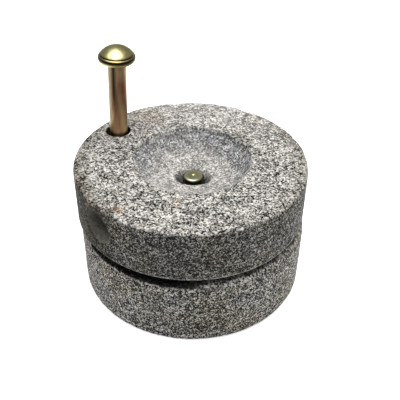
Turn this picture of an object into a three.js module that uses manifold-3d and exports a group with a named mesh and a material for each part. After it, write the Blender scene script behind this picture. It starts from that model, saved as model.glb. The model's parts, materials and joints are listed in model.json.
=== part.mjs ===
// A small two-stone rotary quern, a hand mill for grain and spices.
//
// The bedstone lies on the table and holds an upright steel spindle in a blind
// hole filled with setting mortar. The runner stone sits over the spindle with
// its eye, and is turned by a loose cup-head steel pin that stands in a socket
// near its rim. Millimetres, +Z up, origin at the centre of the bedstone's base.

import * as THREE from 'three';
import { mergeVertices } from 'three/addons/utils/BufferGeometryUtils.js';
import Module from 'manifold-3d';

const wasm = await Module();
wasm.setup();

// ---- driving dimensions -------------------------------------------------

const STONE_RADIUS = 75;
const BAR_RADIUS = 6;            // both steel pieces are cut from 12 mm bar
const DRILL_RADIUS = 8.3;        // every bore for that bar is drilled oversize
const TOUCH_GAP = 0.3;           // kept between pieces that rest on each other
const FACE_GAP = 0.5;            // meal-thick gap between the grinding faces
const ROUND_SIDES = 72;
const BORE_SIDES = 36;
const CUT_OVERSHOOT = 5;

const BED_HEIGHT = 51.2;
const BED_BASE_CHAMFER = 0.8;
const SHOULDER_WIDTH = 14;       // the bedstone's top edge is worn round
const SHOULDER_DROP = 10.4;
const SHOULDER_STEPS = 6;

const OUTLET_DEPTH = 6.2;        // meal runs out here, where the bedstone is low
const OUTLET_INNER_RADIUS = 60;
const OUTLET_START = 210;        // degrees round +Z from +X
const OUTLET_END = 264;
const OUTLET_RUN_OUT = 13;       // its far end rises to the face over this length

const SPINDLE_SOCKET_DEPTH = 27.7;
const SPINDLE_LENGTH = 50.5;
const BAR_CHAMFER = 1;
const SETTING_RECESS = 1;        // the mortar stops this far below the face

const RUNNER_THICKNESS = 35.7;
const RUNNER_OFFSET_X = -1.4;    // the runner's rim is not true to its eye
const RUNNER_TOP_EDGE = 1.2;
const RUNNER_BOTTOM_EDGE = 0.9;

const BOWL_CENTRE = [-0.5, 1.3];
const BOWL_RIM_RADIUS = 37.5;
const BOWL_RIM_ROUNDING = 1.5;
const BOWL_DEPTH = 14.6;         // measured at the eye's edge
const BOWL_HALF_WIDTH = 38.9;    // half the width of the ellipse that the dish follows
const BOWL_STEPS = 9;

const EYE_LIP_LENGTH = 11.2;     // half length of the chipped feed lips, along X
const EYE_LIP_FORWARD = 2.2;     // they lie this far towards -Y of the eye's axis
const EYE_LIP_DEPTH = 6;

const HANDLE_SOCKET_CENTRE = [-51.4, 34];
const HANDLE_SOCKET_DEPTH = 22.5;

const SIDE_SOCKET_RADIUS = 11;
const SIDE_SOCKET_DEPTH = 20;
const SIDE_SOCKET_AZIMUTH = 222;
const SIDE_SOCKET_BELOW_TOP = 15.9;

const PIN_SHANK_LENGTH = 73;
const PIN_LEAN = 2.2;            // degrees, towards +X
const PIN_HEAD_RADIUS = 12;
const PIN_HEAD_RIM = 3.3;
const PIN_HEAD_UNDERCUT = 1.4;   // the rim's lower edge is rounded in by this much
const PIN_DOME_HEIGHT = 6.9;
const PIN_NECK_FILLET = 1.2;
const DOME_STEPS = 7;

const FURROW_COUNT = 8;
const FURROW_WIDTH = 3;
const FURROW_DEPTH = 1.2;
const BED_FURROW_SPAN = [13, 66];
const RUNNER_FURROW_SPAN = [13, 66];

// ---- heights that follow from them --------------------------------------

const RUNNER_BOTTOM = BED_HEIGHT + FACE_GAP;
const RUNNER_TOP = RUNNER_BOTTOM + RUNNER_THICKNESS;
const SPINDLE_BOTTOM = BED_HEIGHT - SPINDLE_SOCKET_DEPTH + TOUCH_GAP;
const EYE_EDGE_HEIGHT = RUNNER_TOP - BOWL_DEPTH;

// ---- helpers ------------------------------------------------------------

const radians = THREE.MathUtils.degToRad;

// A closed solid turned about +Z from [radius, height] points, which start and
// end on the axis, or close on themselves, and run anticlockwise.
function turned(points, sides = ROUND_SIDES) {
  const profile = points.map(([radius, height]) => new THREE.Vector2(radius, height));
  return new THREE.LatheGeometry(profile, sides).rotateX(Math.PI / 2);
}

// Points on a quarter of an ellipse, from the angle start to the angle end.
function arcPoints(centre, halfSizes, start, end, steps) {
  const points = [];
  for (let i = 0; i <= steps; i += 1) {
    const angle = radians(start + ((end - start) * i) / steps);
    const radius = centre[0] + halfSizes[0] * Math.cos(angle);
    const height = centre[1] + halfSizes[1] * Math.sin(angle);
    points.push([radius, height]);
  }
  return points;
}

// An upright round bar or bore between two heights.
function upright(radius, low, high, sides = BORE_SIDES) {
  const bar = new THREE.CylinderGeometry(radius, radius, high - low, sides);
  return bar.rotateX(Math.PI / 2).translate(0, 0, (low + high) / 2);
}

function toSolid(geometry) {
  const bare = geometry.clone();
  bare.deleteAttribute('normal');
  bare.deleteAttribute('uv');
  const merged = mergeVertices(bare, 1e-4);
  const vertProperties = new Float32Array(merged.attributes.position.array);
  const triVerts = new Uint32Array(merged.index.array);
  return new wasm.Manifold(new wasm.Mesh({ numProp: 3, vertProperties, triVerts }));
}

function toGeometry(solid) {
  const mesh = solid.getMesh();
  const geometry = new THREE.BufferGeometry();
  geometry.setAttribute('position', new THREE.BufferAttribute(mesh.vertProperties, 3));
  geometry.setIndex(new THREE.BufferAttribute(mesh.triVerts, 1));
  geometry.computeVertexNormals();
  return geometry;
}

function cut(body, cutters) {
  const solid = cutters.reduce((rest, cutter) => rest.subtract(toSolid(cutter)), toSolid(body));
  return toGeometry(solid);
}

// Straight radial furrows that dress a grinding face at the given height.
function furrows(height, [inner, outer], turn) {
  const cutters = [];
  for (let i = 0; i < FURROW_COUNT; i += 1) {
    const furrow = new THREE.BoxGeometry(outer - inner, FURROW_WIDTH, 2 * FURROW_DEPTH);
    furrow.translate((inner + outer) / 2, 0, height);
    furrow.rotateZ(radians(turn + (360 * i) / FURROW_COUNT));
    cutters.push(furrow);
  }
  return cutters;
}

function piece(name, geometry, material) {
  const mesh = new THREE.Mesh(geometry, material);
  mesh.name = name;
  return mesh;
}

function granite() {
  return new THREE.MeshStandardMaterial({ color: 0x9a9792, roughness: 0.95, metalness: 0 });
}

function zincedSteel() {
  return new THREE.MeshStandardMaterial({ color: 0xa8945c, roughness: 0.35, metalness: 1 });
}

function mortar() {
  return new THREE.MeshStandardMaterial({ color: 0x77736c, roughness: 1, metalness: 0 });
}

// ---- bedstone -----------------------------------------------------------

function bedstoneBlank() {
  const shoulderCentre = [STONE_RADIUS - SHOULDER_WIDTH, BED_HEIGHT - SHOULDER_DROP];
  const shoulder = arcPoints(shoulderCentre, [SHOULDER_WIDTH, SHOULDER_DROP], 0, 90, SHOULDER_STEPS);
  return turned([
    [0, 0],
    [STONE_RADIUS - BED_BASE_CHAMFER, 0],
    [STONE_RADIUS, BED_BASE_CHAMFER],
    ...shoulder,
    [0, BED_HEIGHT],
  ]);
}

function outletCut() {
  const sector = new THREE.Shape();
  const outer = STONE_RADIUS + CUT_OVERSHOOT;
  sector.absarc(0, 0, outer, radians(OUTLET_START), radians(OUTLET_END), false);
  sector.absarc(0, 0, OUTLET_INNER_RADIUS, radians(OUTLET_END), radians(OUTLET_START), true);
  const depth = OUTLET_DEPTH + CUT_OVERSHOOT;
  const cutter = new THREE.ExtrudeGeometry(sector, { depth, bevelEnabled: false, curveSegments: 8 });
  return cutter.translate(0, 0, BED_HEIGHT - OUTLET_DEPTH);
}

// The outlet's far end: a ramp along the rim, from its floor up past the face. It
// is drawn on a plane that faces -Y, and starts a little inside the outlet.
function outletRampCut() {
  const ramp = new THREE.Shape();
  ramp.moveTo(-CUT_OVERSHOOT, -OUTLET_DEPTH);
  ramp.lineTo(0, -OUTLET_DEPTH);
  ramp.lineTo(2 * OUTLET_RUN_OUT, OUTLET_DEPTH);
  ramp.lineTo(-CUT_OVERSHOOT, OUTLET_DEPTH);
  const depth = STONE_RADIUS + CUT_OVERSHOOT - OUTLET_INNER_RADIUS;
  const cutter = new THREE.ExtrudeGeometry(ramp, { depth, bevelEnabled: false });
  cutter.rotateX(Math.PI / 2).translate(0, -OUTLET_INNER_RADIUS, BED_HEIGHT);
  return cutter.rotateZ(radians(OUTLET_END - 270));
}

function bedstone() {
  const socketFloor = BED_HEIGHT - SPINDLE_SOCKET_DEPTH;
  const geometry = cut(bedstoneBlank(), [
    upright(DRILL_RADIUS, socketFloor, BED_HEIGHT + CUT_OVERSHOOT),
    outletCut(),
    outletRampCut(),
    ...furrows(BED_HEIGHT, BED_FURROW_SPAN, 0),
  ]);
  return piece('bedstone', geometry, granite());
}

// ---- spindle and its setting --------------------------------------------

function spindle() {
  const top = SPINDLE_BOTTOM + SPINDLE_LENGTH;
  const geometry = turned([
    [0, SPINDLE_BOTTOM],
    [BAR_RADIUS - BAR_CHAMFER, SPINDLE_BOTTOM],
    [BAR_RADIUS, SPINDLE_BOTTOM + BAR_CHAMFER],
    [BAR_RADIUS, top - BAR_CHAMFER],
    [BAR_RADIUS - BAR_CHAMFER, top],
    [0, top],
  ], BORE_SIDES);
  return piece('spindle', geometry, zincedSteel());
}

function spindleSetting() {
  const inner = BAR_RADIUS + TOUCH_GAP;
  const outer = DRILL_RADIUS - TOUCH_GAP;
  const top = BED_HEIGHT - SETTING_RECESS;
  const geometry = turned([
    [inner, SPINDLE_BOTTOM],
    [outer, SPINDLE_BOTTOM],
    [outer, top],
    [inner, top],
    [inner, SPINDLE_BOTTOM],
  ], BORE_SIDES);
  return piece('spindle_setting', geometry, mortar());
}

// ---- runner stone -------------------------------------------------------

function runnerBlank() {
  const blank = turned([
    [0, RUNNER_BOTTOM],
    [STONE_RADIUS - RUNNER_BOTTOM_EDGE, RUNNER_BOTTOM],
    [STONE_RADIUS, RUNNER_BOTTOM + RUNNER_BOTTOM_EDGE],
    [STONE_RADIUS, RUNNER_TOP - RUNNER_TOP_EDGE],
    [STONE_RADIUS - RUNNER_TOP_EDGE, RUNNER_TOP],
    [0, RUNNER_TOP],
  ]);
  return blank.translate(RUNNER_OFFSET_X, 0, 0);
}

// The hopper: a round dish whose slope grows from the eye to the rounded rim.
function bowlCut() {
  const rimCentre = [BOWL_RIM_RADIUS + BOWL_RIM_ROUNDING, RUNNER_TOP - BOWL_RIM_ROUNDING];
  const rim = arcPoints(rimCentre, [BOWL_RIM_ROUNDING, BOWL_RIM_ROUNDING], 150, 90, 3);
  const [edgeRadius, edgeHeight] = rim[0];
  const sink = (radius) => Math.sqrt(1 - (radius / BOWL_HALF_WIDTH) ** 2);
  const halfHeight = (edgeHeight - EYE_EDGE_HEIGHT) / (sink(DRILL_RADIUS) - sink(edgeRadius));
  const dish = [];
  for (let i = 0; i < BOWL_STEPS; i += 1) {
    const radius = edgeRadius * Math.sin((Math.PI / 2) * (i / BOWL_STEPS));
    dish.push([radius, edgeHeight + halfHeight * (sink(edgeRadius) - sink(radius))]);
  }
  const cutter = turned([
    ...dish,
    ...rim,
    [BOWL_RIM_RADIUS + BOWL_RIM_ROUNDING, RUNNER_TOP + CUT_OVERSHOOT],
    [0, RUNNER_TOP + CUT_OVERSHOOT],
  ]);
  return cutter.translate(BOWL_CENTRE[0], BOWL_CENTRE[1], 0);
}

// The feed lips: the eye's upper edge is broken away on both sides, along X.
function eyeLipCut() {
  const steepness = (EYE_LIP_LENGTH - DRILL_RADIUS) / EYE_LIP_DEPTH;
  const low = EYE_EDGE_HEIGHT - EYE_LIP_DEPTH;
  const high = EYE_EDGE_HEIGHT + CUT_OVERSHOOT;
  const highRadius = DRILL_RADIUS + steepness * (high - low);
  const cutter = turned([
    [0, low],
    [DRILL_RADIUS, low],
    [highRadius, high],
    [0, high],
  ], BORE_SIDES);
  const squeeze = (DRILL_RADIUS - TOUCH_GAP - EYE_LIP_FORWARD) / EYE_LIP_LENGTH;
  return cutter.scale(1, squeeze, 1).translate(0, -EYE_LIP_FORWARD, 0);
}

function sideSocketCut() {
  const length = SIDE_SOCKET_DEPTH + CUT_OVERSHOOT;
  const bore = new THREE.CylinderGeometry(SIDE_SOCKET_RADIUS, SIDE_SOCKET_RADIUS, length, BORE_SIDES);
  bore.rotateZ(Math.PI / 2).translate(STONE_RADIUS - SIDE_SOCKET_DEPTH + length / 2, 0, 0);
  bore.rotateZ(radians(SIDE_SOCKET_AZIMUTH));
  return bore.translate(RUNNER_OFFSET_X, 0, RUNNER_TOP - SIDE_SOCKET_BELOW_TOP);
}

function runnerStone() {
  const [socketX, socketY] = HANDLE_SOCKET_CENTRE;
  const socketFloor = RUNNER_TOP - HANDLE_SOCKET_DEPTH;
  const geometry = cut(runnerBlank(), [
    bowlCut(),
    upright(DRILL_RADIUS, RUNNER_BOTTOM - CUT_OVERSHOOT, RUNNER_TOP),
    eyeLipCut(),
    upright(DRILL_RADIUS, socketFloor, RUNNER_TOP + CUT_OVERSHOOT).translate(socketX, socketY, 0),
    sideSocketCut(),
    ...furrows(RUNNER_BOTTOM, RUNNER_FURROW_SPAN, 180 / FURROW_COUNT),
  ]);
  return piece('runner_stone', geometry, granite());
}

// ---- handle pin ---------------------------------------------------------

// The pin along +Z from its lower end: a chamfered shank, a filleted neck, and a
// cup head with a rim, rounded in below, under a low dome.
function handlePinShape() {
  const rimHeight = PIN_SHANK_LENGTH + PIN_HEAD_RIM;
  const dome = PIN_HEAD_RADIUS ** 2 + PIN_DOME_HEIGHT ** 2;
  const domeRadius = dome / (2 * PIN_DOME_HEIGHT);
  const domeCentre = [0, rimHeight + PIN_DOME_HEIGHT - domeRadius];
  const domeStart = THREE.MathUtils.radToDeg(Math.acos(PIN_HEAD_RADIUS / domeRadius));
  const domePoints = arcPoints(domeCentre, [domeRadius, domeRadius], domeStart, 90, DOME_STEPS);
  domePoints.pop();
  return turned([
    [0, 0],
    [BAR_RADIUS - BAR_CHAMFER, 0],
    [BAR_RADIUS, BAR_CHAMFER],
    [BAR_RADIUS, PIN_SHANK_LENGTH - PIN_NECK_FILLET],
    [BAR_RADIUS + PIN_NECK_FILLET, PIN_SHANK_LENGTH],
    [PIN_HEAD_RADIUS - PIN_HEAD_UNDERCUT, PIN_SHANK_LENGTH],
    [PIN_HEAD_RADIUS - PIN_HEAD_UNDERCUT / 4, PIN_SHANK_LENGTH + PIN_HEAD_UNDERCUT / 2],
    ...domePoints,
    [0, rimHeight + PIN_DOME_HEIGHT],
  ], BORE_SIDES);
}

function handlePin() {
  const [socketX, socketY] = HANDLE_SOCKET_CENTRE;
  const lean = radians(PIN_LEAN);
  const lowEdgeDrop = BAR_RADIUS * Math.sin(lean);
  const pin = piece('handle_pin', handlePinShape(), zincedSteel());
  const bottom = RUNNER_TOP - HANDLE_SOCKET_DEPTH + TOUCH_GAP + lowEdgeDrop;
  pin.position.set(socketX - (HANDLE_SOCKET_DEPTH * Math.sin(lean)) / 2, socketY, bottom);
  pin.rotation.y = lean;
  return pin;
}

// ---- the assembled mill -------------------------------------------------

const mill = new THREE.Group();
mill.add(bedstone(), spindleSetting(), spindle(), runnerStone(), handlePin());

export default mill;
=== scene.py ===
"""A small two-stone granite quern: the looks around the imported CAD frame.

Both stones are voxel-remeshed from their CAD solids and then worn, chipped and pitted in
numpy. The steel pieces are turned from fine profiles. All lengths are in metres.
"""

import json
import math

import bpy
import numpy as np
from mathutils import Matrix, Vector


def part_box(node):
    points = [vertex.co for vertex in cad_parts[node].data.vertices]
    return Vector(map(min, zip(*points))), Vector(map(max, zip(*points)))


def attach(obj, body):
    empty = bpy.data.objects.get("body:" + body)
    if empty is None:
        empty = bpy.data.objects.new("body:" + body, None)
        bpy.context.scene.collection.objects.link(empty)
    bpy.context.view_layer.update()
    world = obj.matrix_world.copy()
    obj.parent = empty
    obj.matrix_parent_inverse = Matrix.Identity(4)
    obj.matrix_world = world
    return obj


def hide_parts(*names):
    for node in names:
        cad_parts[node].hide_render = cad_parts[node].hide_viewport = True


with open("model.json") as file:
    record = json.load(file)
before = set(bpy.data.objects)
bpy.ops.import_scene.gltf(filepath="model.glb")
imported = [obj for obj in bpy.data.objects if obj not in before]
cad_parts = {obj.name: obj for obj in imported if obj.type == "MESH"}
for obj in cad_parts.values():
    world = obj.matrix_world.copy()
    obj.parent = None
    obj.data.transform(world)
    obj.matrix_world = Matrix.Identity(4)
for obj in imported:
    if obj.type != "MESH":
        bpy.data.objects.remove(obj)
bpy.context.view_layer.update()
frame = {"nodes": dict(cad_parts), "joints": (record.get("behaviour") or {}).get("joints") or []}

MM = 0.001
BED_LOW, BED_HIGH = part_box("bedstone")
RUNNER_LOW, RUNNER_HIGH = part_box("runner_stone")
SPINDLE_LOW, SPINDLE_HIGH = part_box("spindle")

STONE_RADIUS = (BED_HIGH.x - BED_LOW.x) / 2
BAR_RADIUS = (SPINDLE_HIGH.x - SPINDLE_LOW.x) / 2
DRILL_RADIUS = 8.3 * MM
BED_CENTRE = ((BED_LOW.x + BED_HIGH.x) / 2, (BED_LOW.y + BED_HIGH.y) / 2)
RUNNER_CENTRE = ((RUNNER_LOW.x + RUNNER_HIGH.x) / 2, (RUNNER_LOW.y + RUNNER_HIGH.y) / 2)
BOWL_CENTRE = (-0.5 * MM, 1.3 * MM)
BOWL_RADIUS = 37.7 * MM
BOWL_DEPTH = 14.6 * MM
EYE_LIP_LENGTH = 11.2 * MM
HANDLE_SOCKET = (-51.4 * MM, 34 * MM)
SIDE_SOCKET_AZIMUTH = 222
SIDE_SOCKET_RADIUS = 11 * MM
SIDE_SOCKET_DEPTH = 20 * MM
SIDE_SOCKET_DROP = 15.9 * MM
OUTLET_AZIMUTHS = (210, 270)
OUTLET_DEPTH = 6.2 * MM
PIN_SHANK = 73 * MM
PIN_HEAD_START = 73.5 * MM
PIN_NECK = 1.2 * MM
PIN_CREASE = 78.3 * MM
PIN_BALL_RADIUS = 13.885 * MM
PIN_BALL_CENTRE = 69.3 * MM
CAD_SIDES = 72
RUNNER_VOXEL = 0.88 * MM
BED_VOXEL = 0.85 * MM
STONE_MASKS = ("sawn", "dish", "wall", "painted_hollow_shade", "drilled", "stain", "rust")
STEEL_MASKS = ("polish", "tarnish_and_shade", "rubbed")


# ---- camera and light -----------------------------------------------------


def add_camera():
    """The photograph's view: from the front, 38 degrees above the table."""
    place = Vector((0, -0.3398, 0.3156))
    forward = Vector((0.0110, 0.7922, -0.6102)).normalized()
    up = Vector((-0.0094, 0.6102, 0.7922))
    right = forward.cross(up).normalized()
    up = right.cross(forward)
    turn = Matrix((right, up, -forward)).transposed()
    data = bpy.data.cameras.new("camera")
    data.lens = 57.39
    data.sensor_width = 36
    data.clip_start, data.clip_end = 0.01, 20
    camera = bpy.data.objects.new("camera", data)
    camera.matrix_world = Matrix.Translation(place) @ turn.to_4x4()
    bpy.context.scene.collection.objects.link(camera)
    bpy.context.scene.camera = camera


def add_area_light(name, place, target, size, power, mirrored):
    """A box light; one that isn't mirrored lights the stones but isn't seen in the steel."""
    data = bpy.data.lights.new(name, "AREA")
    data.shape = "RECTANGLE"
    data.size, data.size_y = size
    data.energy = power
    light = bpy.data.objects.new(name, data)
    aim = Vector(target) - Vector(place)
    light.matrix_world = Matrix.Translation(place) @ aim.to_track_quat("-Z", "Y").to_matrix().to_4x4()
    light.visible_camera = False
    light.visible_glossy = mirrored
    bpy.context.scene.collection.objects.link(light)


def add_studio():
    world = bpy.data.worlds.new("studio")
    world.use_nodes = True
    backdrop = world.node_tree.nodes["Background"]
    backdrop.inputs["Color"].default_value = (0.95, 0.98, 1, 1)
    backdrop.inputs["Strength"].default_value = 0.26
    bpy.context.scene.world = world
    bpy.context.scene.view_settings.view_transform = "Standard"
    add_area_light("overhead_wide", (0.24, 0.43, 0.56), (0.14, 0.24, 0), (0.9, 0.6), 8.6, False)
    add_area_light("overhead", (-0.1, -0.05, 0.62), (-0.08, -0.03, 0), (0.42, 0.48), 4.4, True)
    add_area_light("front_strip", (0.0, -0.36, 0.56), (-0.02, 0, 0.1), (0.5, 0.12), 0.8, True)
    add_area_light("left_fill", (-0.7, -0.1, 0.03), (0, 0, 0.03), (0.5, 0.06), 2.7, False)
    add_area_light("right_fill", (0.7, -0.1, 0.03), (0, 0, 0.03), (0.5, 0.06), 3.4, False)

    bpy.ops.mesh.primitive_plane_add(size=8)
    floor = bpy.context.object
    floor.name = "floor"
    paint = bpy.data.materials.new("floor_paint")
    paint.use_nodes = True
    shader = paint.node_tree.nodes["Principled BSDF"]
    shader.inputs["Base Color"].default_value = (0.93, 0.93, 0.93, 1)
    shader.inputs["Roughness"].default_value = 0.9
    shader.inputs["Emission Color"].default_value = (1, 1, 1, 1)
    shader.inputs["Emission Strength"].default_value = 0.3
    floor.data.materials.append(paint)


# ---- noise in numpy -------------------------------------------------------


def value_noise(points, size, seed):
    """Smooth noise from -1 to 1 at each point, with features about that size."""
    table = np.random.default_rng(seed).permutation(256)
    level = np.random.default_rng(seed + 1).random(256) * 2 - 1
    scaled = points / size + 37.3  # an offset, so that no cell corner lies on the axis
    cell = np.floor(scaled).astype(int)
    part = scaled - cell
    part = part * part * (3 - 2 * part)
    total = np.zeros(len(points))
    for corner in range(8):
        step = np.array([corner >> 2 & 1, corner >> 1 & 1, corner & 1])
        at = (cell + step) & 255
        key = table[(table[(table[at[:, 0]] + at[:, 1]) & 255] + at[:, 2]) & 255]
        weight = np.prod(np.where(step, part, 1 - part), axis=1)
        total += weight * level[key]
    return total


def fractal_noise(points, size, seed, octaves=3):
    """Value noise with finer and weaker layers on top of it."""
    total = np.zeros(len(points))
    for octave in range(octaves):
        total += value_noise(points, size / 2**octave, seed + 10 * octave) / 2**octave
    return total


def smoothstep(low, high, value):
    """Eased from 0 at low to 1 at high; low may be the larger."""
    t = np.clip((value - low) / (high - low), 0, 1)
    return t * t * (3 - 2 * t)


# ---- stones ---------------------------------------------------------------


def remeshed(node, name, voxel):
    """A new object with an even mesh over the CAD node's solid."""
    source = frame["nodes"][node]
    mesh = source.data.copy()
    copy = bpy.data.objects.new(name, mesh)
    bpy.context.scene.collection.objects.link(copy)
    modifier = copy.modifiers.new("remesh", "REMESH")
    modifier.mode = "VOXEL"
    modifier.voxel_size = voxel
    modifier.adaptivity = 0
    bpy.context.view_layer.update()
    graph = bpy.context.evaluated_depsgraph_get()
    even = bpy.data.meshes.new_from_object(copy.evaluated_get(graph))
    copy.modifiers.clear()
    copy.data = even
    even.name = name
    even.materials.clear()
    return copy


def coordinates(mesh):
    points = np.empty(len(mesh.vertices) * 3)
    mesh.vertices.foreach_get("co", points)
    return points.reshape(-1, 3)


def normals(mesh):
    values = np.empty(len(mesh.vertices) * 3)
    mesh.vertex_normals.foreach_get("vector", values)
    return values.reshape(-1, 3)


def set_coordinates(mesh, points):
    mesh.vertices.foreach_set("co", points.astype(np.float32).ravel())
    mesh.update()


def paint_attribute(mesh, name, values):
    layer = mesh.attributes.new(name, "FLOAT", "POINT")
    layer.data.foreach_set("value", values.astype(np.float32))


def paint_masks(mesh, names, masks):
    """Every named mask, and a blank one where none is given."""
    blank = np.zeros(len(mesh.vertices))
    for name in names:
        paint_attribute(mesh, name, masks.get(name, blank))


def true_round(points, centre):
    """Takes the CAD's flat sides off the rim: 1 on a facet's corner, less between."""
    across = points[:, :2] - centre
    half = math.pi / CAD_SIDES
    angle = np.arctan2(across[:, 1], across[:, 0])
    facet = np.cos(half) / np.cos(np.mod(angle, 2 * half) - half)
    radius = np.hypot(across[:, 0], across[:, 1])
    weight = smoothstep(0.9, 0.97, radius / STONE_RADIUS)
    grow = 1 + weight * (1 / facet - 1)
    points[:, :2] = centre + across * grow[:, None]


def shaded_smooth(obj):
    obj.data.polygons.foreach_set("use_smooth", np.ones(len(obj.data.polygons), bool))


def from_edge(radius, height, edge_radius, edge_height):
    """Distance to a circular edge, seen in section."""
    return np.hypot(radius - edge_radius, height - edge_height)


def rust(points):
    """Small rusty spots on the runner's top, at these places."""
    # x and y in mm, size in mm, strength
    spots = [
        (-43.5, -53, 3.2, 1.2),
        (-35, -10, 3, 0.5),
        (-31, 53, 9, 0.7),
        (-10, -50, 2.5, 0.6),
        (-9, -44, 3, 0.5),
    ]
    ragged = 0.6 + 0.8 * value_noise(points, 1.5 * MM, 91)
    total = np.zeros(len(points))
    for x, y, size, strength in spots:
        away = np.hypot(points[:, 0] - x * MM, points[:, 1] - y * MM) / (size * MM)
        total += strength * np.exp(-(away**2)) * (points[:, 2] > RUNNER_HIGH.z - 4 * MM)
    return np.clip(total * ragged, 0, 1)


def off_axis(points, start, direction):
    """Distance of each point from a line, and its distance along that line."""
    along = (points - start) @ np.array(direction)
    foot = start + along[:, None] * np.array(direction)
    return np.linalg.norm(points - foot, axis=1), along


def side_socket_line():
    """A point on the side socket's axis, and the axis's outward direction."""
    turn = math.radians(SIDE_SOCKET_AZIMUTH)
    start = np.array([RUNNER_CENTRE[0], RUNNER_CENTRE[1], RUNNER_HIGH.z - SIDE_SOCKET_DROP])
    return start, (math.cos(turn), math.sin(turn), 0)


def side_socket(points, radius):
    """1 on the side socket's wall and floor."""
    away, along = off_axis(points, *side_socket_line())
    hole = smoothstep(SIDE_SOCKET_RADIUS + 0.8 * MM, SIDE_SOCKET_RADIUS, away)
    hole *= smoothstep(STONE_RADIUS - 0.1 * MM, STONE_RADIUS - 1.1 * MM, radius)
    return hole * (along > STONE_RADIUS - SIDE_SOCKET_DEPTH - 2 * MM)


def handling_stain_and_rim_shade(points, radius):
    """A greasy darkening round the side socket and to its left, and painted shade on the rim's two sides.
    """
    start, _ = side_socket_line()
    turn = np.degrees(np.arctan2(points[:, 1], points[:, 0] - start[0])) % 360
    spread = np.where(turn < SIDE_SOCKET_AZIMUTH, 44.0, 11.0)
    stain = np.exp(-(((turn - SIDE_SOCKET_AZIMUTH) / spread) ** 2))
    stain *= smoothstep(72 * MM, 74 * MM, radius)
    on_top = 0.9 * np.exp(-(((turn - 203) / 15) ** 2)) * smoothstep(64 * MM, 71 * MM, radius)
    # Painted shade on the top's rim at the left and at the right.
    rim = 0.45 * np.cos(np.radians(turn)) ** 2 * smoothstep(62 * MM, 72 * MM, radius)
    rim *= points[:, 2] > RUNNER_HIGH.z - 1.5 * MM
    return np.maximum(np.maximum(stain, on_top), rim)


def runner_bore_shade(points, below):
    """Painted shade: 1 inside the handle's socket, and up to 0.6 on the feed lips round the eye's throat.
    """
    across = abs(points[:, 0] / (11.8 * MM)) ** 3
    across += abs((points[:, 1] + 0.5 * MM) / (8.6 * MM)) ** 3
    across += 0.3 * value_noise(points, 1.6 * MM, 97)
    throat = smoothstep(8.7 * MM, 8.3 * MM, np.hypot(points[:, 0], points[:, 1]))
    inside = 0.6 * smoothstep(1.1, 0.8, across) * smoothstep(13 * MM, 14.2 * MM, below) * (1 - throat)
    socket = np.hypot(points[:, 0] - HANDLE_SOCKET[0], points[:, 1] - HANDLE_SOCKET[1])
    inside += smoothstep(9.2 * MM, 8.4 * MM, socket) * smoothstep(0.3 * MM, 1.2 * MM, below)
    return np.clip(inside, 0, 1)


def runner_edge_wear(points, radius, below, bowl_at, ragged):
    """How deep the rim, the bowl's lip and the eye's lips are worn and chipped."""
    rim = from_edge(radius, points[:, 2], STONE_RADIUS, RUNNER_HIGH.z)
    broken = np.maximum(value_noise(points, 11 * MM, 9) - 0.35, 0)
    wear = np.exp(-((rim / (1.6 * MM)) ** 2)) * (0.35 * np.maximum(ragged, 0) + 0.15) * MM
    wear += np.exp(-((rim / (3.5 * MM)) ** 2)) * broken * 1.8 * MM
    lip = np.hypot(bowl_at - BOWL_RADIUS, below)
    wear += np.exp(-((lip / (2.5 * MM)) ** 2)) * 0.5 * np.maximum(ragged, 0) * MM
    eye = np.hypot(points[:, 0] / EYE_LIP_LENGTH, points[:, 1] / DRILL_RADIUS) - 1
    eye_edge = np.exp(-((eye / 0.16) ** 2) - ((below - BOWL_DEPTH) / (2.5 * MM)) ** 2)
    chips = np.maximum(value_noise(points, 2.2 * MM, 17), 0)
    return wear + eye_edge * (1.1 * chips + 0.1) * MM


def runner_face_wear(points, outward, radius):
    """How deep the hammered top and the smoother sides are pitted."""
    side = smoothstep(0.86, 0.97, radius / STONE_RADIUS) * smoothstep(0.8, 0.4, abs(outward[:, 2]))
    hammered = (1 - side) * smoothstep(0.2, 0.5, outward[:, 2])
    foot = smoothstep(0, 3 * MM, points[:, 2] - RUNNER_LOW.z)
    pits = fractal_noise(points, 2.4 * MM, 21)
    waves = fractal_noise(points, 16 * MM, 33, 2)
    wear = (0.16 * pits + 0.12 * waves + 0.2) * hammered * MM
    return wear + (0.05 * pits + 0.06 * waves + 0.08) * (1 - hammered) * foot * MM


def sawn_side(points, radius, below):
    """1 on the runner's sawn side, with a ragged upper edge."""
    top_edge = below + 0.7 * MM * fractal_noise(points, 2.5 * MM, 41)
    sawn = smoothstep(0.9 * MM, 1.6 * MM, top_edge) * smoothstep(0.93, 0.965, radius / STONE_RADIUS)
    return sawn * smoothstep(1.0 * MM, 1.7 * MM, points[:, 2] - RUNNER_LOW.z)


def bowl_wall(points, below, bowl_at, ragged_at):
    """1 on the bowl's tooled wall, less towards its front and its left: the tool marks and the wall's
    painted shade.
    """
    turn = np.arctan2(points[:, 1] - BOWL_CENTRE[1], points[:, 0] - BOWL_CENTRE[0])
    wall = smoothstep(BOWL_RADIUS + 1.5 * MM, BOWL_RADIUS - 1.0 * MM, ragged_at)
    wall *= smoothstep(18 * MM, 34 * MM, bowl_at) * smoothstep(0.3 * MM, 1.2 * MM, below)
    # Painted shade: strongest on the back of the wall, weakest at its front.
    wall *= 0.35 + 0.65 * smoothstep(-0.75, 0.1, np.sin(turn))
    return wall * (0.8 + 0.2 * smoothstep(-0.3, 0.9, np.cos(turn)))


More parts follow.
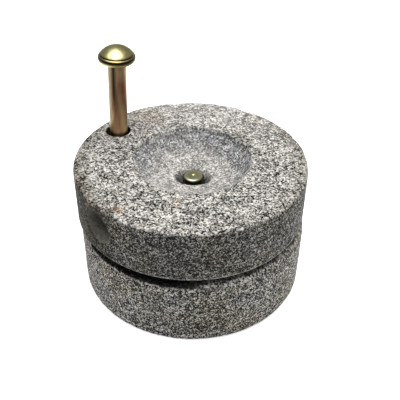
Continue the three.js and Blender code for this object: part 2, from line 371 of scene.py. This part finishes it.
def runner_stone():
    stone = remeshed("runner_stone", "runner_stone_worn", RUNNER_VOXEL)
    mesh = stone.data
    points = coordinates(mesh)
    true_round(points, RUNNER_CENTRE)
    set_coordinates(mesh, points)
    outward = normals(mesh)
    radius = np.hypot(*(points[:, :2] - RUNNER_CENTRE).T)
    bowl_at = np.hypot(*(points[:, :2] - BOWL_CENTRE).T)
    below = RUNNER_HIGH.z - points[:, 2]
    bore_shade = runner_bore_shade(points, below)
    ragged = fractal_noise(points, 4 * MM, 3)
    wear = runner_edge_wear(points, radius, below, bowl_at, ragged)
    wear += runner_face_wear(points, outward, radius)
    points -= outward * wear[:, None]

    ragged_at = bowl_at + 1.3 * MM * ragged
    masks = {
        "sawn": sawn_side(points, radius, below),
        "dish": smoothstep(BOWL_RADIUS + 0.8 * MM, BOWL_RADIUS - 0.8 * MM, ragged_at),
        "wall": bowl_wall(points, below, bowl_at, ragged_at),
        "painted_hollow_shade": bore_shade,
        "drilled": side_socket(points, radius),
        "stain": handling_stain_and_rim_shade(points, radius),
        "rust": rust(points),
    }
    paint_masks(mesh, STONE_MASKS, masks)
    set_coordinates(mesh, points)
    shaded_smooth(stone)
    return stone


def bed_hollow_shade(points, radius):
    """Painted shade: 1 inside the meal outlet, and 0.9 in the spindle's socket and on the worn shoulder
    under the runner's edge.
    """
    turn = np.degrees(np.arctan2(points[:, 1], points[:, 0])) % 360
    start, end = OUTLET_AZIMUTHS
    sector = smoothstep(start - 2, start, turn) * smoothstep(end + 7, end, turn)
    floor = BED_HIGH.z - OUTLET_DEPTH
    outlet = sector * smoothstep(57 * MM, 60 * MM, radius)
    ragged = 2 * MM * fractal_noise(points, 5 * MM, 83)
    outlet *= smoothstep(floor - 1 * MM, floor - 0.5 * MM, points[:, 2] + 0.25 * ragged)
    socket = smoothstep(9.2 * MM, 8.4 * MM, radius)
    # Painted shade on the shoulder, in the crevice under the runner's edge.
    ring = smoothstep(61 * MM, 67 * MM, radius + ragged)
    ring *= smoothstep(46 * MM, 47.4 * MM, points[:, 2] + 0.5 * ragged)
    return np.clip(outlet + 0.9 * socket + 0.9 * ring, 0, 1)


def bed_shoulder_darkening(points):
    """Darker on the shoulder, at the right and at the left."""
    turn = np.degrees(np.arctan2(points[:, 1], points[:, 0]))
    right = 0.75 * np.exp(-(((turn + 8) / 40) ** 2))
    left = 0.6 * np.exp(-(((turn % 360 - 190) / 22) ** 2))
    return np.maximum(right, left) * smoothstep(36 * MM, 43 * MM, points[:, 2])


def bedstone():
    stone = remeshed("bedstone", "bedstone_worn", BED_VOXEL)
    mesh = stone.data
    points = coordinates(mesh)
    true_round(points, BED_CENTRE)
    set_coordinates(mesh, points)
    outward = normals(mesh)
    radius = np.hypot(*(points[:, :2] - BED_CENTRE).T)
    height = points[:, 2]
    hollow_shade = bed_hollow_shade(points, radius)
    pits = fractal_noise(points, 3 * MM, 52)
    waves = fractal_noise(points, 14 * MM, 61, 2)
    ragged = np.maximum(fractal_noise(points, 6 * MM, 71), 0)
    shoulder = from_edge(radius, height, STONE_RADIUS - 3 * MM, BED_HIGH.z - 7 * MM)
    wear = (0.1 * pits + 0.12 * waves + 0.2) * (1 - hollow_shade) * MM
    wear += np.exp(-((shoulder / (5 * MM)) ** 2)) * 0.5 * ragged * (1 - hollow_shade) * MM
    foot = from_edge(radius, height, STONE_RADIUS, 0)
    wear += np.exp(-((foot / (1.5 * MM)) ** 2)) * 0.4 * ragged * MM
    points -= outward * wear[:, None]
    points[:, 2] = np.maximum(points[:, 2], 0)
    side = smoothstep(0.9, 0.98, radius / STONE_RADIUS) * smoothstep(0.5, 0.25, outward[:, 2])
    masks = {"sawn": side, "painted_hollow_shade": hollow_shade, "stain": bed_shoulder_darkening(points)}
    paint_masks(mesh, STONE_MASKS, masks)
    set_coordinates(mesh, points)
    shaded_smooth(stone)
    return stone


# ---- materials ------------------------------------------------------------


class Nodes:
    """A material's node tree, with short calls for the nodes that it needs."""

    def __init__(self, name):
        self.material = bpy.data.materials.new(name)
        self.material.use_nodes = True
        self.tree = self.material.node_tree
        self.shader = self.tree.nodes["Principled BSDF"]

    def add(self, kind, inputs=None, **settings):
        node = self.tree.nodes.new(kind)
        for key, value in settings.items():
            setattr(node, key, value)
        for key, value in (inputs or {}).items():
            self.feed(node.inputs[key], value)
        return node

    def feed(self, socket, value):
        if isinstance(value, bpy.types.NodeSocket):
            self.tree.links.new(value, socket)
        else:
            socket.default_value = value

    def place(self):
        return self.add("ShaderNodeTexCoord").outputs["Object"]

    def attribute(self, name):
        return self.add("ShaderNodeAttribute", attribute_name=name).outputs["Fac"]

    def noise(self, where, size, detail, rough=0.5, output="Fac"):
        inputs = {"Vector": where, "Scale": 1 / size, "Detail": detail, "Roughness": rough}
        return self.add("ShaderNodeTexNoise", inputs).outputs[output]

    def cells(self, where, size):
        """A random level for each cell of about this size."""
        inputs = {"Vector": where, "Scale": 1 / size}
        return self.red(self.add("ShaderNodeTexVoronoi", inputs).outputs["Color"])

    def maths(self, operation, a, b=0.0):
        node = self.add("ShaderNodeMath", operation=operation)
        self.feed(node.inputs[0], a)
        self.feed(node.inputs[1], b)
        return node.outputs[0]

    def span(self, value, low, high, to_low=0.0, to_high=1.0):
        inputs = {"Value": value, "From Min": low, "From Max": high, "To Min": to_low, "To Max": to_high}
        return self.add("ShaderNodeMapRange", inputs).outputs[0]

    def mix(self, share, a, b, blend="MIX"):
        node = self.add("ShaderNodeMix", data_type="RGBA", blend_type=blend)
        self.feed(node.inputs[0], share)
        self.feed(node.inputs[6], a)
        self.feed(node.inputs[7], b)
        return node.outputs[2]

    def vector(self, operation, a, b):
        node = self.add("ShaderNodeVectorMath", operation=operation)
        self.feed(node.inputs[0], a)
        self.feed(node.inputs[1], b)
        return node.outputs[0]

    def blend(self, low_share, low, high_share, high):
        """The weighted sum of two levels."""
        return self.maths("ADD", self.maths("MULTIPLY", low, low_share),
                          self.maths("MULTIPLY", high, high_share))

    def tinted(self, colour, tint):
        return self.mix(1.0, colour, tint, "MULTIPLY")

    def scaled(self, vector, factor):
        node = self.add("ShaderNodeVectorMath", operation="SCALE")
        self.feed(node.inputs[0], vector)
        self.feed(node.inputs["Scale"], factor)
        return node.outputs[0]

    def bump(self, height, strength, distance):
        inputs = {"Height": height, "Strength": strength, "Distance": distance}
        self.feed(self.shader.inputs["Normal"], self.add("ShaderNodeBump", inputs).outputs[0])

    def red(self, colour):
        return self.add("ShaderNodeSeparateColor", {"Color": colour}).outputs[0]

    def ramp(self, value, stops):
        node = self.add("ShaderNodeValToRGB", {"Fac": value})
        elements = node.color_ramp.elements
        while len(elements) > 1:
            elements.remove(elements[0])
        elements[0].position, elements[0].color = stops[0][0], (*stops[0][1], 1)
        for position, colour in stops[1:]:
            elements.new(position).color = (*colour, 1)
        return node.outputs[0]


def grey(level, warm=0.0):
    """A stone colour: its green is the level, and warm shifts it from blue to red."""
    return (level * (1 + warm), level, level * (1 - 1.8 * warm))


def shifted(n, place, centre):
    """Polar coordinates about an upright axis: (radius, angle times 40 mm, height)."""
    moved = n.vector("SUBTRACT", place, (centre[0], centre[1], 0))
    parts = n.add("ShaderNodeSeparateXYZ", {"Vector": moved}).outputs
    squares = n.maths("ADD", n.maths("POWER", parts[0], 2), n.maths("POWER", parts[1], 2))
    radius = n.maths("SQRT", squares)
    turn = n.maths("MULTIPLY", n.maths("ARCTAN2", parts[1], parts[0]), 40 * MM)
    return radius, turn, parts[2]


def streaks(n, axes, stretch, size):
    """Noise drawn out along the axes whose stretch is large."""
    drawn = [n.maths("DIVIDE", axis, factor) for axis, factor in zip(axes, stretch)]
    joined = n.add("ShaderNodeCombineXYZ", {"X": drawn[0], "Y": drawn[1], "Z": drawn[2]})
    return n.noise(joined.outputs[0], size, 2)


WHITE = (1, 1, 1, 1)
PAINTED_BACK_LIGHT = (0.33, 0.32, 0.303, 1)
OLIVE = (1.02, 0.985, 0.88, 1)
RUBBED = (0.26, 0.25, 0.238, 1)
COOL_SHADE = (0.68, 0.71, 0.76, 1)
GREASE_AND_SHADE = (0.43, 0.4, 0.33, 1)
RUST = (0.6, 0.42, 0.26, 1)
GRAIN_BEND = 1.1 * MM


def hewn_colour(n, place, mineral):
    """The runner's top and the hidden faces: pale, with painted light making them paler towards the back.
    """
    stops = [(0.22, 0.004, 0), (0.32, 0.02, 0.02), (0.42, 0.09, 0.04),
             (0.52, 0.17, 0.05), (0.68, 0.28, 0.05), (0.9, 0.5, 0.03)]
    pale = n.ramp(mineral, [(position, grey(level, warm)) for position, level, warm in stops])
    # Painted light: mixed up to a fifth of the way to a paler grey from 10 mm to 70 mm towards the back.
    back = n.add("ShaderNodeSeparateXYZ", {"Vector": place}).outputs[1]
    return n.mix(n.span(back, 10 * MM, 70 * MM, 0, 0.2), pale, PAINTED_BACK_LIGHT)


def sawn_colour(n, place, sawn, side_shade_gain):
    """The stones' sides: darker, partly for their sawn finish and partly as painted shade scaled by the
    side gain, with olive patches.
    """
    stops = [(0.3, 0.003), (0.46, 0.012), (0.56, 0.05), (0.68, 0.18), (0.82, 0.5)]
    dark = n.ramp(sawn, [(position, grey(level * side_shade_gain, 0.03)) for position, level in stops])
    patches = n.span(n.noise(place, 26 * MM, 2), 0.4, 0.62)
    return n.mix(patches, dark, n.tinted(dark, OLIVE))


def bowl_colour(n, place, colour):
    """The bowl: smoother than the top, with tool marks round and down its wall, and painted shade on the
    wall.
    """
    axes = shifted(n, place, BOWL_CENTRE)
    rings = n.span(streaks(n, axes, (1, 14, 1), 1.0 * MM), 0.35, 0.65, 0.5, 1.45)
    rays = n.span(streaks(n, axes, (12, 1, 1), 1.1 * MM), 0.35, 0.65, 0.68, 1.32)
    wall = n.attribute("wall")
    smoothed = n.mix(n.span(wall, 0, 1, 0.35, 0.2), n.tinted(colour, (1.12, 1.12, 1.12, 1)), RUBBED)
    marks = n.scaled((1, 1, 1), n.maths("MULTIPLY", rings, rays))
    smoothed = n.tinted(smoothed, n.mix(wall, WHITE, marks))
    # Painted shade: the wall darkened and cooled.
    return n.mix(wall, smoothed, n.tinted(smoothed, COOL_SHADE))


def granite(name, side_shade_gain):
    """Speckled grey stone; the masks say where it is sawn, drilled, stained or rusty, and where shade is
    painted.
    """
    n = Nodes(name)
    place = n.place()
    bend = n.scaled(n.noise(place, GRAIN_BEND, 1, output="Color"), GRAIN_BEND)
    bent = n.vector("ADD", place, bend)
    drift = n.span(n.noise(place, 7 * MM, 3, 0.6), 0.3, 0.7, -0.12, 0.12)
    grains = n.blend(0.62, n.cells(bent, 1.0 * MM), 0.38, n.cells(bent, 0.5 * MM))
    mineral = n.maths("ADD", grains, drift)
    fine_grains = n.blend(0.5, n.cells(bent, 0.8 * MM), 0.5, n.cells(bent, 0.38 * MM))
    sawn = n.maths("ADD", fine_grains, n.maths("MULTIPLY", drift, 0.4))

    hewn = hewn_colour(n, place, mineral)
    side = sawn_colour(n, place, sawn, side_shade_gain)
    colour = n.mix(n.attribute("sawn"), hewn, side)
    colour = n.mix(n.attribute("dish"), colour, bowl_colour(n, place, colour))
    # Real stains and painted shade share this mask and tint.
    colour = n.mix(n.attribute("stain"), colour, n.tinted(colour, GREASE_AND_SHADE))
    smooth = n.ramp(sawn, [(0.2, grey(0.085, 0.07)), (0.8, grey(0.15, 0.07))])
    colour = n.mix(n.attribute("drilled"), colour, smooth)
    # Painted shade: near-black in the hollows and in the crevice under the runner.
    shaded = n.ramp(mineral, [(0.4, grey(0.003)), (0.6, grey(0.009, 0.03)), (0.8, grey(0.04, 0.03))])
    colour = n.mix(n.attribute("painted_hollow_shade"), colour, shaded)
    colour = n.mix(n.attribute("rust"), colour, n.tinted(colour, RUST))

    n.feed(n.shader.inputs["Base Color"], colour)
    n.feed(n.shader.inputs["Roughness"], n.span(mineral, 0.1, 0.9, 0.92, 0.72))
    n.shader.inputs["Specular IOR Level"].default_value = 0.1
    relief = n.maths("ADD", n.maths("MULTIPLY", mineral, 0.8), n.noise(place, 0.6 * MM, 3))
    n.bump(relief, 0.6, 0.35 * MM)
    return n.material


BAR_FILM = [
    (0.36, (0.17, 0.085, 0.045)),
    (0.46, (0.25, 0.14, 0.08)),
    (0.53, (0.26, 0.165, 0.1)),
    (0.6, (0.25, 0.19, 0.085)),
    (0.7, (0.3, 0.25, 0.13)),
]
HEAD_FILM = [(0.35, (0.5, 0.38, 0.15)), (0.5, (0.48, 0.43, 0.19)), (0.65, (0.44, 0.43, 0.23))]
BAR_GAIN = (2.8, 2.8, 2.8, 1)
HEAD_GOLD = (0.56, 0.39, 0.13, 1)
OXIDE_AND_SHADE = (0.013, 0.008, 0.004, 1)


def zinced_steel(name, tint):
    """Bright zinc under a thin yellow film, browner and streaked along the bar."""
    n = Nodes(name)
    place = n.place()
    axes = n.add("ShaderNodeSeparateXYZ", {"Vector": place}).outputs
    clouds = n.noise(place, 12 * MM, 3)
    film = n.blend(0.6, streaks(n, axes, (1, 1, 14), 2.2 * MM), 0.4, clouds)
    rubbed = n.attribute("rubbed")
    bar = n.tinted(n.ramp(film, BAR_FILM), n.ramp(rubbed, [(0, grey(0.33)), (1, grey(1.0))]))
    bar = n.tinted(bar, BAR_GAIN)
    # The head turns golden on its right side where the rubbed mask is set.
    head = n.tinted(n.mix(rubbed, n.ramp(clouds, HEAD_FILM), HEAD_GOLD), tint)
    colour = n.mix(n.attribute("polish"), bar, head)
    # Near-black oxide on the spindle's top, and painted shade and dark reflections elsewhere on the
    # steel.
    colour = n.mix(n.attribute("tarnish_and_shade"), colour, OXIDE_AND_SHADE)
    n.feed(n.shader.inputs["Base Color"], colour)
    n.shader.inputs["Metallic"].default_value = 1.0
    n.feed(n.shader.inputs["Roughness"], n.span(n.noise(place, 3 * MM, 4), 0.3, 0.7, 0.3, 0.41))
    n.bump(n.noise(place, 0.8 * MM, 3), 0.03, 0.2 * MM)
    return n.material


def mortar(name):
    n = Nodes(name)
    place = n.place()
    grit = n.noise(place, 0.7 * MM, 4)
    colour = n.ramp(grit, [(0.3, grey(0.1, 0.02)), (0.7, grey(0.24, 0.03))])
    n.feed(n.shader.inputs["Base Color"], colour)
    n.shader.inputs["Roughness"].default_value = 0.95
    n.bump(grit, 0.5, 0.4 * MM)
    return n.material


# ---- steel pieces ---------------------------------------------------------


def turned(name, profile, sides=96):
    """A closed piece turned about Z from [radius, height] points, from axis to axis."""
    rings = profile[1:-1]
    vertices = [(0, 0, profile[0][1])]
    for radius, height in rings:
        for i in range(sides):
            angle = 2 * math.pi * i / sides
            vertices.append((radius * math.cos(angle), radius * math.sin(angle), height))
    vertices.append((0, 0, profile[-1][1]))
    last = len(vertices) - 1
    faces = []
    for i in range(sides):
        j = (i + 1) % sides
        faces.append((0, 1 + j, 1 + i))
        for k in range(len(rings) - 1):
            low, high = 1 + k * sides, 1 + (k + 1) * sides
            faces.append((low + i, low + j, high + j, high + i))
        top = 1 + (len(rings) - 1) * sides
        faces.append((top + i, top + j, last))
    mesh = bpy.data.meshes.new(name)
    mesh.from_pydata(vertices, [], faces)
    obj = bpy.data.objects.new(name, mesh)
    bpy.context.scene.collection.objects.link(obj)
    shaded_smooth(obj)
    return obj


def arc(centre, radius, start, end, steps):
    """Points along an arc, from the start angle to the end angle."""
    points = []
    for i in range(steps + 1):
        angle = math.radians(start + (end - start) * i / steps)
        points.append((centre[0] + radius * math.cos(angle), centre[1] + radius * math.sin(angle)))
    return points


def spindle():
    low, high = SPINDLE_LOW.z, SPINDLE_HIGH.z
    edge = 1 * MM
    profile = [(0, low), (BAR_RADIUS - edge, low), (BAR_RADIUS, low + edge)]
    profile += [(BAR_RADIUS, low + (high - low) * t) for t in (0.25, 0.5, 0.75, 0.95)]
    # radius and drop below the bar's top, in mm
    top = [(6, 1.3), (6, 0.7), (5.93, 0.5), (5.5, 0.13), (5.3, 0.06), (5, 0.04), (2.4, 0.02), (1.4, 0.02)]
    dimple = [(1.2, 0.06), (0.8, 0.24), (0.4, 0.42)]
    profile += [(radius * MM, high - drop * MM) for radius, drop in top + dimple]
    profile += [(0, high - 0.5 * MM)]
    bar = turned("spindle_bar", profile)
    points = coordinates(bar.data)
    radius = np.hypot(points[:, 0], points[:, 1])
    ring = np.exp(-(((radius - 2.2 * MM) / (1 * MM)) ** 2))
    flat = (0.06 + 0.25 * ring) * smoothstep(5.1 * MM, 4.8 * MM, radius)
    flat *= points[:, 2] > high - 0.3 * MM
    # Painted shade on the bar's side just below its top, inside the eye.
    side = 0.95 * smoothstep(high - 0.9 * MM, high - 1.3 * MM, points[:, 2])
    masks = {"polish": np.ones(len(points)), "tarnish_and_shade": np.maximum(flat, side)}
    paint_masks(bar.data, STEEL_MASKS, masks)
    return bar


def pin_shade_and_tarnish(points):
    """Darkening down a streak of the shank, under the head and round its rim: painted dark reflections on
    the shank and the rim, and painted shadow under the head.
    """
    turn = np.degrees(np.arctan2(points[:, 1], points[:, 0]))
    height = points[:, 2]
    # Painted dark reflection in a streak down the shank, with fainter darkening to its right and on its
    # left edge.
    streak = np.exp(-(((turn + 108) / 22) ** 2)) * smoothstep(18 * MM, 54 * MM, height)
    right = 0.2 * np.exp(-(((turn + 50) / 40) ** 2)) * smoothstep(30 * MM, 60 * MM, height)
    streak = np.maximum(streak, right)
    edge = 0.5 * np.exp(-(((turn + 150) / 26) ** 2)) * smoothstep(20 * MM, 36 * MM, height)
    # Painted shadow under the head.
    neck = 0.6 * smoothstep(PIN_SHANK - 5 * MM, PIN_SHANK - 1.5 * MM, height)
    on_shank = np.maximum(np.maximum(streak, edge), neck)
    above = (height - PIN_SHANK) / MM
    # Painted dark reflections in the rim's band and its crease, and a dimmed light line between them.
    band = smoothstep(1.4, 2.4, above) * smoothstep(4.3, 3.95, above)
    line = 0.45 * smoothstep(3.6, 3.8, above) * smoothstep(5.2, 4.6, above)
    crease = smoothstep(4.5, 4.62, above) * smoothstep(5.5, 5.2, above)
    return np.where(above < -0.2, on_shank, np.maximum(np.maximum(band, line), crease))


def pin_rubbed(points):
    """Where hand and stone have rubbed the film, low on the shank; and a golden tint on the head's right
    side.
    """
    turn = np.degrees(np.arctan2(points[:, 1], points[:, 0]))
    height = points[:, 2]
    low = 0.1 + 0.4 * smoothstep(52 * MM, 32 * MM, height)
    low += 0.45 * smoothstep(34 * MM, 22 * MM, height)
    golden = 0.3 * smoothstep(-0.2, 0.9, np.cos(np.radians(turn + 25)))
    return np.where(height < PIN_HEAD_START, low * smoothstep(-132, -108, turn), golden)


def pin_profile():
    """The pin in section: chamfered shank, filleted neck, rounded rim, crease and dome."""
    profile = [(0, 0), (BAR_RADIUS - 0.9 * MM, 0), (BAR_RADIUS, 0.9 * MM)]
    profile += [(BAR_RADIUS, PIN_SHANK * t / 24) for t in range(1, 24)]
    for x, y in arc((0, 0), PIN_NECK, 0, 90, 5):
        profile.append((BAR_RADIUS + PIN_NECK - x, PIN_SHANK - PIN_NECK + y))
    # radius and height, in mm
    rim = [(9.8, 73), (10.8, 73.15), (11.5, 73.6), (11.87, 74.35), (12, 75.2), (11.95, 76),
           (11.75, 76.7), (11.45, 77.2), (11.2, 77.42), (10.85, 77.52), (10.8, 77.65), (10.76, 78)]
    profile += [(radius * MM, height * MM) for radius, height in rim]
    start = math.degrees(math.asin((PIN_CREASE - PIN_BALL_CENTRE) / PIN_BALL_RADIUS))
    profile += arc((0, PIN_BALL_CENTRE), PIN_BALL_RADIUS, start, 88, 14)
    return profile + [(0, PIN_BALL_CENTRE + PIN_BALL_RADIUS)]


def handle_pin():
    """Built along Z from its lower end, then leaned about that end as the CAD pin is."""
    joint = next(j for j in frame["joints"] if j["name"] == "handle_spin")
    axis = Vector(joint["axis"]).normalized()
    pin = turned("handle_pin_turned", pin_profile())
    points = coordinates(pin.data)
    turn = np.degrees(np.arctan2(points[:, 1], points[:, 0]))
    polish = smoothstep(PIN_HEAD_START, PIN_HEAD_START + 0.5 * MM, points[:, 2])
    polish = np.maximum(polish, 0.45 * np.exp(-(((turn + 152) / 20) ** 2)))
    masks = {"polish": polish, "tarnish_and_shade": pin_shade_and_tarnish(points), "rubbed": pin_rubbed(points)}
    paint_masks(pin.data, STEEL_MASKS, masks)
    lean = Vector((0, 0, 1)).rotation_difference(axis).to_matrix().to_4x4()
    pin.data.transform(Matrix.Translation(joint["pos_m"]) @ lean)
    return pin


# ---- the model ------------------------------------------------------------


def dress(piece, node, body, material):
    piece.data.materials.append(material)
    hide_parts(node)
    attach(piece, body)


add_camera()
add_studio()
# The same granite in two copies: their side gains make the runner's sides darker than the bed's as
# painted shade, partly also for their different dressing.
RUNNER_GRANITE = granite("runner_granite", 0.6)
BED_GRANITE = granite("bed_granite", 1.05)
PIN_STEEL = zinced_steel("pin_steel", (1, 1, 1, 1))
SPINDLE_STEEL = zinced_steel("spindle_steel", (1.15, 1.3, 1.7, 1))
MORTAR = mortar("setting_mortar")
dress(runner_stone(), "runner_stone", "runner", RUNNER_GRANITE)
dress(bedstone(), "bedstone", "bed", BED_GRANITE)
dress(spindle(), "spindle", "spindle", SPINDLE_STEEL)
dress(handle_pin(), "handle_pin", "handle", PIN_STEEL)
frame["nodes"]["spindle_setting"].data.materials.clear()
frame["nodes"]["spindle_setting"].data.materials.append(MORTAR)
